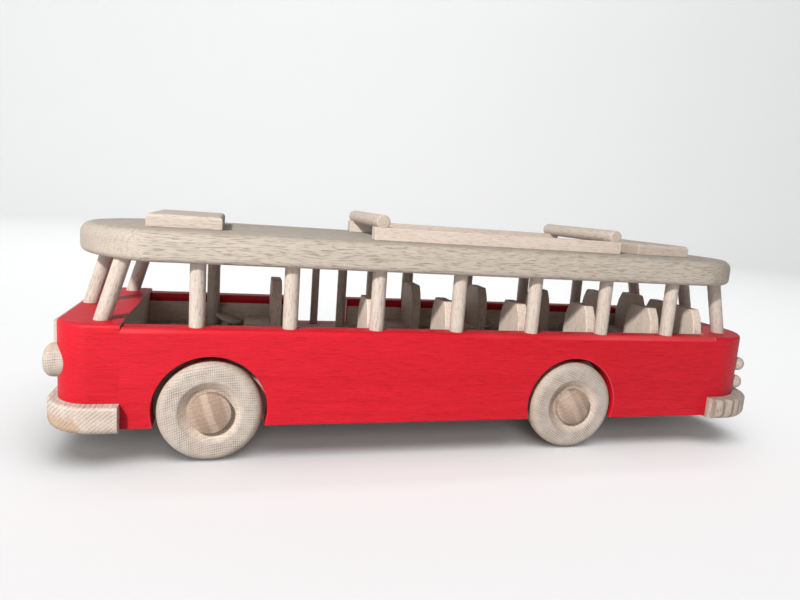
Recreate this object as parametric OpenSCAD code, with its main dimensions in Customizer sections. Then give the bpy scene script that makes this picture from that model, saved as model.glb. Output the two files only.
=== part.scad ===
// Wooden toy bus: a red-stained and plain beech body on four turning wheels, with dowel
// window pillars, a bowed roof with a luggage rack, and rows of seats on its floor.
// +X is forward, +Y is the bus's left and +Z is up. The wheels stand on z = 0.

/* [Body] */
// Length from the nose's front face to the tail's rear face
body_len = 394; // [372:1:440]
// Width over the two side walls
body_w = 114; // [108:1:130]
// Thickness of a side wall
wall_t = 12; // [11:0.5:14]
// Height of a side wall
wall_h = 48.5; // [44:0.5:58]
// Height of the walls' lower edge above the ground
ground_gap = 18; // [14:0.5:22]
// Round on the upper edges of a side wall
wall_edge_r = 2.5; // [0.5:0.25:3.5]
// Length of the nose block
nose_len = 29.5; // [27:0.5:36]
// Corner radius of the nose block in plan
nose_r = 17; // [12:0.5:24]
// Step from the walls' top up to the nose's top
nose_rise = 1.5; // [0:0.25:4]
// Length of the tail block
tail_len = 34.5; // [31:0.5:42]
// Corner radius of the tail block in plan
tail_r = 29; // [20:0.5:30]
// Round on the upper edge of the nose and tail blocks
block_edge_r = 2; // [0.5:0.25:4]

/* [Floor and door] */
// Thickness of the floor board
floor_t = 10; // [8:0.5:12]
// Depth of the floor's top below the walls' top
floor_drop = 17.5; // [14:0.5:20]
// Width of the doorway in the right wall
door_w = 32; // [28:0.5:36]
// Distance from the third pillar back to the doorway's rear jamb
door_setback = 1.6; // [0:0.2:3]
// Diameter of the post beside the rear jamb
door_post_d = 6; // [4:0.5:8]
// Distance from the rear jamb forward to the post
door_post_ahead = 4.7; // [4.2:0.1:7]
// Diameter of the hand pole in the doorway
door_pole_d = 5; // [4:0.5:7]
// Distance from the rear jamb forward to the hand pole
door_pole_ahead = 21; // [16:0.5:24]
// Distance from the rear jamb back to the pillar behind the doorway
jamb_pillar_back = 17.6; // [14:0.2:20]
// Distance from the first pillar back to the post beside the driver
cab_post_setback = 4.4; // [0:0.2:8]

/* [Pillars] */
// Diameter of a window pillar
pillar_d = 7.5; // [6:0.5:8.5]
// Number of upright pillars along the left wall
pillar_count = 7; // [6:1:8]
// Distance from the nose block's rear face to the first pillar
pillar_front_margin = 33.3; // [28:0.1:38]
// Distance from the last upright pillar to the tail block
pillar_rear_margin = 31.5; // [29:0.1:36]
// Clear height of the side windows
window_h = 31; // [26:0.5:40]
// Depth of a pillar's socket in the wood
pillar_seat = 6; // [4:0.5:8]
// Distance from the side face in to the corner windscreen pillars
corner_inset = 12; // [9:0.5:14]
// Distance from the side face in to the corner rear pillars
rear_corner_inset = 16; // [12:0.5:20]
// Backward lean of the windscreen pillars, in degrees
windscreen_lean = 17; // [8:1:20]
// Distance from the nose's front face back to the middle windscreen pillar
windscreen_mid_back = 6; // [6:0.5:9]
// Distance from the nose's front face back to the corner windscreen pillars
windscreen_corner_back = 20; // [17:0.5:22]
// Forward lean of the rear pillars, in degrees
rear_lean = 15; // [8:1:18]
// Distance from the tail's rear face forward to the middle rear pillar
rear_mid_ahead = 8.4; // [8:0.2:12]
// Distance from the tail's rear face forward to the corner rear pillars
rear_corner_ahead = 19.5; // [18:0.5:24]

/* [Roof] */
// Width of the roof board
roof_w = 120.5; // [114:0.5:136]
// Thickness of the roof board
roof_t = 14.5; // [12:0.5:18]
// Distance from the nose's front face back to the roof's front edge
roof_front_back = 2.5; // [0:0.25:3]
// Distance from the tail's rear face forward to the roof's rear edge
roof_rear_ahead = 10; // [8:0.5:12]
// Radius of the roof's bowed front edge
roof_bow_r = 68; // [66:1:90]
// Radius that blends the bow into the roof's sides
roof_blend_r = 6.5; // [6.5:0.5:16]
// Radius of the roof's rear corners
roof_rear_r = 44; // [26:1:48]
// Round on the roof's upper edge
roof_top_r = 5.5; // [2:0.25:6]
// Round on the roof's lower edge
roof_low_r = 3; // [0.5:0.25:3]

/* [Roof fittings] */
// Length of a roof hatch along the bus
hatch_len = 36; // [28:0.5:42]
// Width of a roof hatch
hatch_w = 66; // [50:1:74]
// Height of a roof hatch
hatch_h = 6.6; // [5:0.2:9]
// Bevel round the top of a roof hatch
hatch_bevel = 2; // [0.5:0.25:3]
// Distance from the roof's front edge back to the front hatch
hatch_front_back = 34.5; // [28:0.5:44]
// Distance from the roof's rear edge forward to the rear hatch
hatch_rear_ahead = 33; // [28:0.5:42]
// Distance from the roof's front edge back to the rack
rack_front_back = 147; // [140:1:160]
// Distance from the roof's rear edge forward to the rack
rack_rear_ahead = 86.5; // [80:0.5:96]
// Width over the two rack rails
rack_w = 82; // [70:1:100]
// Width of a rack rail
rail_w = 8; // [6:0.5:10]
// Height of a rack rail
rail_h = 7; // [5:0.5:10]
// Diameter of a rack crossbar
bar_d = 7.5; // [6:0.5:9]
// Depth that a crossbar sits down into the rails
bar_sink = 1; // [0.5:0.25:2]
// Distance from a rail's end to the crossbar's centre
bar_inset = 4.2; // [4:0.2:8]

/* [Front and rear] */
// Reach of the bumpers beyond the nose and tail faces
bumper_proud = 4.6; // [4:0.2:8]
// Reach of the bumpers beyond the side walls
bumper_side = 6.2; // [2:0.1:8]
// Height of the front bumper
front_bumper_h = 13.4; // [11:0.1:17]
// Height of the rear bumper
rear_bumper_h = 12.5; // [10:0.5:15]
// Drop of the front bumper below the walls' lower edge
front_bumper_drop = 1; // [0:0.25:3]
// Drop of the rear bumper below the walls' lower edge
rear_bumper_drop = 1; // [0:0.25:3]
// Corner radius of the front bumper in plan
front_bumper_r = 24; // [16:0.5:28]
// Round on a bumper's upper edge
bumper_edge_r = 1.5; // [0.5:0.25:3]
// Round on a bumper's lower edge
bumper_low_r = 4; // [1:0.25:6]
// Diameter of a headlight
headlight_d = 16; // [12:0.5:18]
// Reach of a headlight beyond the nose's front face
headlight_proud = 4.6; // [4:0.2:8]
// Distance from the middle to a headlight's centre
headlight_y = 44; // [34:0.5:46]
// Distance from the nose's top down to the headlights' centre
headlight_drop = 19.8; // [19:0.1:24]
// Depth of a headlight's socket
headlight_seat = 8; // [4:0.5:10]
// Round on a headlight's front edge
headlight_edge_r = 4; // [0.5:0.25:5]
// Width of the panel across the nose
panel_w = 66; // [56:1:70]
// Height of the panel across the nose
panel_h = 12; // [9:0.5:13]
// Thickness of the panel across the nose
panel_t = 4.4; // [3:0.1:5.5]
// Distance from the nose's top down to the panel
panel_drop = 3.8; // [2:0.1:4.5]
// Diameter of a tail lamp
tail_lamp_d = 8.5; // [5:0.5:9]
// Reach of a tail lamp beyond the tail's corner
tail_lamp_proud = 5; // [2:0.25:6]
// Depth of a tail lamp's socket
tail_lamp_seat = 4; // [3:0.5:8]
// Spacing of the two lamps, one above the other
tail_lamp_pitch = 11.6; // [9:0.2:13]
// Distance from the walls' top down to the lamps' middle
tail_lamp_drop = 25; // [20:0.1:26]
// Angle of the lamps round the tail's corner, in degrees from straight back
tail_lamp_angle = 33; // [0:1:60]

/* [Wheels] */
// Diameter of a wheel
wheel_d = 50; // [44:0.5:56]
// Thickness of a wheel
wheel_t = 12; // [10:0.5:14]
// Round on the edges of a wheel's rim
wheel_edge_r = 4.5; // [1:0.25:5]
// Distance from the nose's front face back to the front axle
front_overhang = 70; // [66:0.5:80]
// Distance from the tail's rear face forward to the rear axle
rear_overhang = 126; // [110:0.5:136]
// Gap between a wheel and its arch
arch_gap = 2.2; // [2:0.2:6]
// Height of an arch's centre above the axle
arch_lift = 0.8; // [0:0.1:1]
// Distance from the rear axle forward to its arch's centre
rear_arch_ahead = 1.2; // [0:0.1:1.2]
// Diameter of the dish in a wheel's face
dish_d = 31; // [27:0.5:36]
// Depth of the dish in a wheel's face
dish_depth = 4; // [2:0.25:5]
// Diameter of a wheel peg's head
hub_d = 20; // [16:0.5:23]
// Height of a wheel peg's head at its rim
hub_rim_h = 4; // [2.5:0.25:6]
// Rise of the dome on a wheel peg's head
hub_dome_h = 1.8; // [0.5:0.1:3]
// Diameter of a wheel peg's shank
peg_d = 10; // [8:0.5:11]
// Depth that a peg goes into its axle block
peg_seat = 20; // [14:0.5:30]
// Length of an axle block along the bus
axle_block_len = 57; // [24:1:60]
// Wood below the peg in an axle block
axle_block_under = 8; // [6.5:0.25:9]

/* [Seats] */
// Width of a seat
seat_w = 26; // [20:0.5:27]
// Gap between a seat and the side wall
seat_wall_gap = 0.5; // [0.25:0.25:3]
// Height of a seat's back above the floor
seat_back_h = 31.5; // [26:0.5:36]
// Thickness of a seat's back
seat_back_t = 6; // [5:0.25:8]
// Height of a seat's base
seat_base_h = 5; // [4:0.5:12]
// Length of a seat's base in front of its back
seat_base_len = 16; // [12:0.5:18]
// Round on the front edge of a seat's base
seat_front_r = 3; // [1:0.5:4]
// Distance from a pillar forward to the front of the seat back beside it
seat_ahead = 3.6; // [2:0.1:6]
// Step by which each left-hand seat closes up on the one in front of it
left_seat_closing = 0.5; // [0:0.1:1]
// Distance that the first right-hand passenger seat stands further ahead of its pillar
right_seat_lead = 1.5; // [-5:0.25:2]
// Step by which each right-hand seat falls back behind its pillar
right_seat_spread = 2.2; // [0:0.1:2.5]
// Length of the rear bench's base in front of its backs
bench_base_len = 13; // [10:0.5:15]
// Distance from the middle to the inner edge of the bench's right-hand back
bench_right_in = 10; // [6:0.5:18]
// Gap between the two backs of the rear bench
bench_gap = 5; // [0.5:0.25:6]

/* [Steering] */
// Diameter of the steering wheel
steering_d = 16; // [12:0.5:17]
// Thickness of the steering wheel
steering_t = 2; // [2:0.25:3]
// Height of the steering wheel's centre above the floor
steering_h = 5.2; // [5.2:0.1:9]
// Distance from the post beside the driver back to the steering wheel's centre
steering_post_back = 9.6; // [8:0.2:14]
// Distance from the driver's seat base forward to the steering wheel's centre
steering_ahead = 9; // [9:0.25:12]
// Backward lean of the steering column, in degrees
steering_lean = 18; // [8:1:22]
// Diameter of the steering column
column_d = 5; // [4:0.5:6]
// Diameter of the pin that the steering wheel turns on
column_pin_d = 3; // [2:0.25:3.5]

/* [Hidden] */
$fn = 72;
// Segments round a part that hull() joins
hull_fn = 32;
// Radial gap round a glued dowel
glue_gap = 0.05;
// Radial gap round a pin that something turns on
running_gap = 0.06;
// Gap left past the upper end of a glued dowel
end_gap = 0.5;
// Gap at each side of a wheel, and between a post and the wall beside it
side_gap = 0.4;
// Length that a cut runs past the face it opens
overrun = 1;
// Share of a seat's height that stands below its shoulders
shoulder_share = 0.6;
// Share of a seat's width that each shoulder takes
shoulder_width_share = 0.19;
// Share of a shoulder's width and height kept at the top of its curve
shoulder_bend_shares = [0.35, 0.55];
// Share of the dish's depth that its sloping wall runs inward
dish_slope_share = 0.6;
// Share of a bar's diameter that its end bevel takes
bar_bevel_share = 0.12;
// Share of a tail lamp's radius that the round on its end takes
lamp_round_share = 0.9;
// Share of the nose panel's thickness that its end round takes
panel_round_share = 0.8;
// Steps round the bow of the roof's front edge
bow_steps = 12;

beech = "#d9bf9d";
red_stain = "#cf2431";
hub_wood = "#c9a57f";
shadow_wood = "#b79a78";

half_w = body_w / 2;
inner_y = half_w - wall_t;
front_reach = max(headlight_proud, bumper_proud, panel_t);
nose_x = (body_len + bumper_proud - front_reach) / 2;
tail_x = nose_x - body_len;
wall_front_x = nose_x - nose_len;
wall_rear_x = tail_x + tail_len;
wall_len = wall_front_x - wall_rear_x;
wall_top = ground_gap + wall_h;
nose_top = wall_top + nose_rise;
floor_top = wall_top - floor_drop;
floor_bottom = floor_top - floor_t;
front_bumper_z = ground_gap - front_bumper_drop;
nose_bottom = front_bumper_z + front_bumper_h;
rear_bumper_z = ground_gap - rear_bumper_drop;
tail_bottom = rear_bumper_z + rear_bumper_h;

axle_z = wheel_d / 2;
front_axle_x = nose_x - front_overhang;
rear_axle_x = tail_x + rear_overhang;
axle_xs = [front_axle_x, rear_axle_x];
arch_xs = [front_axle_x, rear_axle_x + rear_arch_ahead];
wheel_in_y = inner_y + side_gap;
dish_floor = wheel_t - dish_depth;
hub_in_y = wheel_in_y + dish_floor + side_gap;

roof_bottom = wall_top + window_h;
roof_top = roof_bottom + roof_t;
roof_front_x = nose_x - roof_front_back;
roof_rear_x = tail_x + roof_rear_ahead;
rail_front_x = roof_front_x - rack_front_back;
rail_rear_x = roof_rear_x + rack_rear_ahead;
bar_xs = [rail_front_x - bar_inset, rail_rear_x + bar_inset];
bar_z = roof_top + rail_h - bar_sink + bar_d / 2;

pillar_y = half_w - wall_t / 2;
corner_y = half_w - corner_inset;
rear_corner_y = half_w - rear_corner_inset;
pillar_pitch = (wall_len - pillar_front_margin - pillar_rear_margin) / (pillar_count - 1);
function pillar_x(i) = wall_front_x - pillar_front_margin - (i - 1) * pillar_pitch;

door_pillar = 3;
first_right_pillar = 4;
door_rear_x = pillar_x(door_pillar) - door_setback;

// An upright is [x, y, height of its foot, diameter, lean towards +X in degrees].
function left_upright(i) = [pillar_x(i), pillar_y, wall_top, pillar_d, 0];
function right_upright(i) = [pillar_x(i), -pillar_y, wall_top, pillar_d, 0];
function windscreen_upright(side) =
    [nose_x - (side == 0 ? windscreen_mid_back : windscreen_corner_back),
     side * corner_y, nose_top, pillar_d, -windscreen_lean];
function rear_upright(side) =
    [tail_x + (side == 0 ? rear_mid_ahead : rear_corner_ahead),
     side * rear_corner_y, wall_top, pillar_d, rear_lean];
function inside_right(d) = -(inner_y - side_gap - d / 2);
cab_upright = [pillar_x(1) - cab_post_setback, inside_right(pillar_d), floor_top, pillar_d, 0];
post_upright = [door_rear_x + door_post_ahead, inside_right(door_post_d), floor_top, door_post_d, 0];
pole_upright = [door_rear_x + door_pole_ahead, -pillar_y, floor_top, door_pole_d, 0];
jamb_upright = [door_rear_x - jamb_pillar_back, -pillar_y, wall_top, pillar_d, 0];

left_uprights = [for (i = [1:pillar_count]) left_upright(i)];
right_uprights = [for (i = [first_right_pillar:pillar_count]) right_upright(i)];
windscreen_uprights = [for (side = [1, 0, -1]) windscreen_upright(side)];
rear_uprights = [for (side = [1, 0, -1]) rear_upright(side)];
uprights = concat(left_uprights, right_uprights, windscreen_uprights, rear_uprights,
                  [cab_upright, post_upright, pole_upright, jamb_upright]);

seat_y = inner_y - seat_wall_gap - seat_w;
bench_x = wall_rear_x + seat_back_t;
bench_w = bench_right_in - bench_gap + seat_y + seat_w;
function left_seat_x(i) = pillar_x(i) + seat_ahead + (i - first_row) * left_seat_closing;
function right_seat_x(i) =
    pillar_x(i) + seat_ahead + right_seat_lead - (i - first_right_pillar) * right_seat_spread;
steering_x = cab_upright.x - steering_post_back;
driver_seat_x = steering_x - steering_ahead - seat_base_len;
steering_y = -(seat_y + seat_w / 2);
steering_z = floor_top + steering_h;
// Length of the column from its foot on the floor to the wheel's underside
column_len = steering_h / cos(steering_lean) - steering_t / 2;
column_seat = floor_t / 2;

side_names = ["left", "right"];
sides = [1, -1];
end_names = ["front", "rear"];
place_names = ["left", "middle", "right"];
first_row = 3;

// Upright board section with both upper corners rounded
module rounded_top(w, h, r) {
    square([w, h - r]);
    translate([r, 0])
        square([w - 2 * r, h]);
    for (x = [r, w - r])
        translate([x, h - r])
            circle(r);
}

// Disc with rounded upper and lower rims
module round_disc(r, h, top_r, low_r) {
    rotate_extrude($fn = hull_fn)
        intersection() {
            union() {
                translate([0, low_r])
                    square([r, h - top_r - low_r]);
                square([r - max(top_r, low_r), h]);
                translate([r - top_r, h - top_r])
                    circle(top_r, $fn = hull_fn);
                translate([r - low_r, low_r])
                    circle(low_r, $fn = hull_fn);
            }
            square([r, h]);
        }
}

// Block with a flat face on x = 0 and two rounded corners at x = len; low_r rounds its lower edge too
module end_block(len, w, h, r, top_r, low_r = 0) {
    under = low_r > 0 ? 0 : 2 * top_r;
    intersection() {
        hull()
            for (x = [-r, len - r], y = [r - w / 2, w / 2 - r])
                translate([x, y, -under])
                    round_disc(r, h + under, top_r, low_r > 0 ? low_r : top_r);
        translate([0, -w / 2, 0])
            cube([len, w, h]);
    }
}

// Round stick along +Z with a rounded upper edge
module button(d, h, r) {
    rotate_extrude() {
        square([d / 2, h - r]);
        square([d / 2 - r, h]);
        intersection() {
            translate([d / 2 - r, h - r])
                circle(r);
            translate([0, h - r])
                square([d / 2, r]);
        }
    }
}

// Glued dowel from its socket up into the roof; a gap makes it the socket's shape
module dowel(u, gap = 0) {
    lean = u[4];
    translate([u.x, u.y, u.z])
        rotate([0, lean, 0])
            translate([0, 0, -pillar_seat])
                cylinder(d = u[3] + 2 * gap,
                         h = 2 * pillar_seat + (roof_bottom - u.z) / cos(lean) + (gap > 0 ? end_gap : 0));
}

module arch_cuts() {
    for (x = arch_xs)
        translate([x, 0, axle_z + arch_lift])
            rotate([90, 0, 0])
                cylinder(d = wheel_d + 2 * arch_gap, h = body_w + 2 * overrun, center = true);
}

// Side wall at the left, whole, with its two wheel arches
module side_wall() {
    difference() {
        translate([wall_rear_x, inner_y, ground_gap])
            rotate([90, 0, 90])
                linear_extrude(wall_len)
                    rounded_top(wall_t, wall_h, wall_edge_r);
        arch_cuts();
    }
}

module left_wall() {
    color(red_stain)
        difference() {
            side_wall();
            for (u = left_uprights)
                dowel(u, glue_gap);
        }
}

module right_wall() {
    color(red_stain)
        difference() {
            mirror([0, 1, 0])
                side_wall();
            translate([door_rear_x, -half_w - overrun, floor_top])
                cube([door_w, wall_t + 2 * overrun, wall_top - floor_top + overrun]);
            for (u = right_uprights)
                dowel(u, glue_gap);
            dowel(pole_upright, glue_gap);
            dowel(jamb_upright, glue_gap);
        }
}

module floor_board() {
    color(beech)
        difference() {
            translate([wall_rear_x, -inner_y, floor_bottom])
                cube([wall_len, 2 * inner_y, floor_t]);
            dowel(cab_upright, glue_gap);
            dowel(post_upright, glue_gap);
            steering_axis()
                translate([0, 0, -column_seat])
                    cylinder(d = column_d + 2 * glue_gap, h = column_seat + overrun);
        }
}

module nose_block() {
    color(red_stain)
        difference() {
            translate([wall_front_x, 0, nose_bottom])
                end_block(nose_len, body_w, nose_top - nose_bottom, nose_r, block_edge_r);
            for (u = windscreen_uprights)
                dowel(u, glue_gap);
            for (side = sides)
                headlight_axis(side)
                    cylinder(d = headlight_d + 2 * glue_gap, h = headlight_seat + headlight_proud);
        }
}

module tail_block() {
    color(red_stain)
        difference() {
            translate([wall_rear_x, 0, tail_bottom])
                mirror([1, 0, 0])
                    end_block(tail_len, body_w, wall_top - tail_bottom, tail_r, block_edge_r);
            for (u = rear_uprights)
                dowel(u, glue_gap);
            for (side = sides)
                tail_lamp_axes(side)
                    cylinder(d = tail_lamp_d + 2 * glue_gap, h = tail_lamp_seat + tail_lamp_proud);
        }
}

module roof_board() {
    bow_centre_x = roof_front_x - roof_bow_r;
    disc_path_r = roof_bow_r - roof_blend_r;
    bow_angle = asin((roof_w / 2 - roof_blend_r) / disc_path_r);
    color(beech)
        difference() {
            translate([0, 0, roof_bottom])
                hull() {
                    for (step = [0:bow_steps]) {
                        angle = bow_angle * (2 * step / bow_steps - 1);
                        translate([bow_centre_x + disc_path_r * cos(angle), disc_path_r * sin(angle), 0])
                            round_disc(roof_blend_r, roof_t, roof_top_r, roof_low_r);
                    }
                    for (side = sides)
                        translate([roof_rear_x + roof_rear_r, side * (roof_w / 2 - roof_rear_r), 0])
                            round_disc(roof_rear_r, roof_t, roof_top_r, roof_low_r);
                }
            for (u = uprights)
                dowel(u, glue_gap);
        }
}

module front_bumper() {
    color(beech)
        translate([wall_front_x, 0, front_bumper_z])
            end_block(nose_len + bumper_proud, body_w + 2 * bumper_side, front_bumper_h,
                      front_bumper_r, bumper_edge_r, bumper_low_r);
}

module rear_bumper() {
    color(beech)
        translate([wall_rear_x, 0, rear_bumper_z])
            mirror([1, 0, 0])
                end_block(tail_len + bumper_proud, body_w + 2 * bumper_side, rear_bumper_h, tail_r,
                          bumper_edge_r, bumper_low_r);
}

module nose_panel() {
    corner_r = panel_t * panel_round_share;
    color(beech)
        translate([nose_x, -panel_w / 2, nose_top - panel_drop - panel_h])
            linear_extrude(panel_h) {
                square([panel_t - corner_r, panel_w]);
                translate([0, corner_r])
                    square([panel_t, panel_w - 2 * corner_r]);
                for (y = [corner_r, panel_w - corner_r])
                    intersection() {
                        translate([panel_t - corner_r, y])
                            circle(corner_r);
                        square([panel_t, panel_w]);
                    }
            }
}

module headlight_axis(side) {
    translate([nose_x - headlight_seat, side * headlight_y, nose_top - headlight_drop])
        rotate([0, 90, 0])
            children();
}

module headlight(side) {
    color(beech)
        headlight_axis(side)
            button(headlight_d, headlight_seat + headlight_proud, headlight_edge_r);
}

// Places its children at the bottom of the two lamp sockets on one rear corner
module tail_lamp_axes(side) {
    for (step = [-1, 1])
        translate([tail_x + tail_r, side * (half_w - tail_r),
                   wall_top - tail_lamp_drop + step * tail_lamp_pitch / 2])
            rotate([0, 0, 180 - side * tail_lamp_angle])
                translate([tail_r - tail_lamp_seat, 0, 0])
                    rotate([0, 90, 0])
                        children();
}

module tail_lamps(side) {
    color(hub_wood)
        tail_lamp_axes(side)
            button(tail_lamp_d, tail_lamp_seat + tail_lamp_proud, tail_lamp_d / 2 * lamp_round_share);
}

module pillar(u) {
    color(beech)
        dowel(u);
}

// Flat block with its upper edges bevelled on all four sides
module hatch(x) {
    section_steps = [[0, 0], [0, hatch_h - hatch_bevel], [hatch_bevel, hatch_h]];
    function section(w) =
        concat(section_steps, [for (i = [2, 1, 0]) [w - section_steps[i].x, section_steps[i].y]]);
    color(beech)
        translate([x, -hatch_w / 2, roof_top])
            intersection() {
                rotate([90, 0, 90])
                    linear_extrude(hatch_len)
                        polygon(section(hatch_w));
                translate([0, hatch_w, 0])
                    rotate([90, 0, 0])
                        linear_extrude(hatch_w)
                            polygon(section(hatch_len));
            }
}

module front_hatch() {
    hatch(roof_front_x - hatch_front_back - hatch_len);
}

module rear_hatch() {
    hatch(roof_rear_x + hatch_rear_ahead);
}

module bar_axis(x) {
    translate([x, 0, bar_z])
        rotate([90, 0, 0])
            children();
}

module rack_rail(side) {
    color(beech)
        difference() {
            translate([rail_rear_x, side * (rack_w - rail_w) / 2 - rail_w / 2, roof_top])
                cube([rail_front_x - rail_rear_x, rail_w, rail_h]);
            for (x = bar_xs)
                bar_axis(x)
                    cylinder(d = bar_d + 2 * glue_gap, h = rack_w + 2 * overrun, center = true);
        }
}

module rack_bar(x) {
    bevel = bar_d * bar_bevel_share;
    half_profile = [[0, rack_w / 2], [bar_d / 2 - bevel, rack_w / 2], [bar_d / 2, rack_w / 2 - bevel]];
    color(beech)
        bar_axis(x)
            rotate_extrude()
                polygon(concat(half_profile, [for (i = [2, 1, 0]) [half_profile[i].x, -half_profile[i].y]]));
}

// Places its children with +Z along the axle, outward, from the axle block's side face
module axle_side(x, side) {
    translate([x, side * inner_y, axle_z])
        rotate([-side * 90, 0, 0])
            children();
}

module axle_block(x) {
    bottom = axle_z - axle_block_under;
    color(beech)
        difference() {
            translate([x - axle_block_len / 2, -inner_y, bottom])
                cube([axle_block_len, 2 * inner_y, floor_bottom - bottom]);
            for (side = sides)
                axle_side(x, side)
                    translate([0, 0, -peg_seat])
                        cylinder(d = peg_d + 2 * glue_gap, h = peg_seat + overrun);
        }
}

module wheel(x, side) {
    rim_r = wheel_d / 2 - wheel_edge_r;
    dish_slope = dish_depth * dish_slope_share;
    color(beech)
        axle_side(x, side)
            translate([0, 0, side_gap])
                difference() {
                    rotate_extrude() {
                        square([rim_r, wheel_t]);
                        translate([0, wheel_edge_r])
                            square([wheel_d / 2, wheel_t - 2 * wheel_edge_r]);
                        for (z = [wheel_edge_r, wheel_t - wheel_edge_r])
                            translate([rim_r, z])
                                circle(wheel_edge_r);
                    }
                    rotate_extrude()
                        polygon([[0, dish_floor], [dish_d / 2 - dish_slope, dish_floor],
                                 [dish_d / 2, wheel_t], [dish_d / 2, wheel_t + overrun],
                                 [0, wheel_t + overrun]]);
                    translate([0, 0, -overrun])
                        cylinder(d = peg_d + 2 * running_gap, h = wheel_t + 2 * overrun);
                }
}

// Turned peg: a shank that the wheel turns on and a domed head that keeps it there
module peg(x, side) {
    head_z = hub_in_y - inner_y;
    dome_r = (pow(hub_d / 2, 2) + pow(hub_dome_h, 2)) / (2 * hub_dome_h);
    color(hub_wood)
        axle_side(x, side) {
            translate([0, 0, -peg_seat])
                cylinder(d = peg_d, h = peg_seat + head_z);
            translate([0, 0, head_z])
                intersection() {
                    cylinder(d = hub_d, h = hub_rim_h + hub_dome_h);
                    translate([0, 0, hub_rim_h + hub_dome_h - dome_r])
                        sphere(dome_r);
                }
        }
}

// Seat from its inner edge at y = 0 outward, with the front of its back on x = 0
module seat(w, base_len) {
    shoulder_w = seat_w * shoulder_width_share;
    shoulder_z = seat_back_h * shoulder_share;
    bend = [shoulder_w * shoulder_bend_shares[0],
            shoulder_z + (seat_back_h - shoulder_z) * shoulder_bend_shares[1]];
    half_back = [[0, 0], [0, shoulder_z], bend, [shoulder_w, seat_back_h]];
    translate([-seat_back_t, 0, 0])
        rotate([90, 0, 90])
            linear_extrude(seat_back_t)
                polygon(concat(half_back, [for (i = [3:-1:0]) [w - half_back[i].x, half_back[i].y]]));
    translate([0, w, 0])
        rotate([90, 0, 0])
            linear_extrude(w) {
                square([base_len - seat_front_r, seat_base_h]);
                square([base_len, seat_base_h - seat_front_r]);
                translate([base_len - seat_front_r, seat_base_h - seat_front_r])
                    intersection() {
                        circle(seat_front_r);
                        square(seat_front_r);
                    }
            }
}

module left_seat(x) {
    translate([x, seat_y, floor_top])
        seat(seat_w, seat_base_len);
}

module right_seat(x) {
    mirror([0, 1, 0])
        left_seat(x);
}

module driver_seat() {
    color(shadow_wood)
        right_seat(driver_seat_x);
}

// Passenger seats beside one pillar; the doorway takes the right-hand place beside its own
module seat_row(i) {
    color(shadow_wood) {
        left_seat(left_seat_x(i));
        if (i > door_pillar)
            right_seat(right_seat_x(i));
    }
}

module rear_bench() {
    color(shadow_wood) {
        translate([bench_x, bench_gap - bench_right_in, floor_top])
            seat(bench_w, bench_base_len);
        mirror([0, 1, 0])
            translate([bench_x, bench_right_in, floor_top])
                seat(seat_w, bench_base_len);
    }
}

// Places its children with +Z up the steering column, from the column's foot on the floor
module steering_axis() {
    translate([steering_x, steering_y, steering_z])
        rotate([0, -steering_lean, 0])
            translate([0, 0, -column_len - steering_t / 2])
                children();
}

module steering_column() {
    color(beech)
        steering_axis() {
            translate([0, 0, -column_seat])
                cylinder(d = column_d, h = column_seat + column_len);
            cylinder(d = column_pin_d, h = column_len + steering_t);
        }
}

module steering_wheel() {
    color(beech)
        steering_axis()
            translate([0, 0, column_len])
                difference() {
                    cylinder(d = steering_d, h = steering_t);
                    translate([0, 0, -overrun])
                        cylinder(d = column_pin_d + 2 * running_gap, h = steering_t + 2 * overrun);
                }
}

floor_board();
left_wall();
right_wall();
nose_block();
tail_block();
roof_board();
front_bumper();
rear_bumper();
nose_panel();
pillar(cab_upright);  // cab_post
pillar(post_upright);  // door_post
pillar(pole_upright);  // door_pole
pillar(jamb_upright);  // jamb_pillar
front_hatch();
rear_hatch();
driver_seat();
steering_column();
steering_wheel();
rear_bench();
for (i = [1:pillar_count])
    pillar(left_upright(i));
for (i = [first_right_pillar:pillar_count])
    pillar(right_upright(i));
for (i = [0:2]) {
    pillar(windscreen_uprights[i]);
    pillar(rear_uprights[i]);
}
for (i = [first_row:pillar_count])
    seat_row(i);
for (s = [0, 1]) {
    headlight(sides[s]);
    tail_lamps(sides[s]);
    rack_rail(sides[s]);
}
for (e = [0, 1]) {
    rack_bar(bar_xs[e]);
    axle_block(axle_xs[e]);
    for (s = [0, 1]) {
        name = str(end_names[e], "_", side_names[s]);
        wheel(axle_xs[e], sides[s]);
        peg(axle_xs[e], sides[s]);
    }
}
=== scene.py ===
import math

import bmesh
import bpy
from mathutils import Matrix, Vector


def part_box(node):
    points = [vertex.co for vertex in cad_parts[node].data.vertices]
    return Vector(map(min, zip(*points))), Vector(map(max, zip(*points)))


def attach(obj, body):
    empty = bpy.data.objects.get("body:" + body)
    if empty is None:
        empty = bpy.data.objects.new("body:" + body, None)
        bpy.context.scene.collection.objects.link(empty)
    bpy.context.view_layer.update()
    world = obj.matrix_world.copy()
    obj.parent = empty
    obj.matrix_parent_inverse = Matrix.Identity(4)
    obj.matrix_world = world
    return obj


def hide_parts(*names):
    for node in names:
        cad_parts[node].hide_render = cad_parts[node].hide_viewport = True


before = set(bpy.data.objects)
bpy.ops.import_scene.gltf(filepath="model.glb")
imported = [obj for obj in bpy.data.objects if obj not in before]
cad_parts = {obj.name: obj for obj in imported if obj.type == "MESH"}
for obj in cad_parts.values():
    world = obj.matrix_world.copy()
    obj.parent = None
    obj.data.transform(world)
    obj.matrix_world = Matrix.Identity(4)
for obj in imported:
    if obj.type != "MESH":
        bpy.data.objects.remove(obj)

# Lengths are in millimetres as far as the camera, and meshes are made in metres.
MM = 0.001
# Two coordinates closer than this are equal.
NEAR = 0.01
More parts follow.
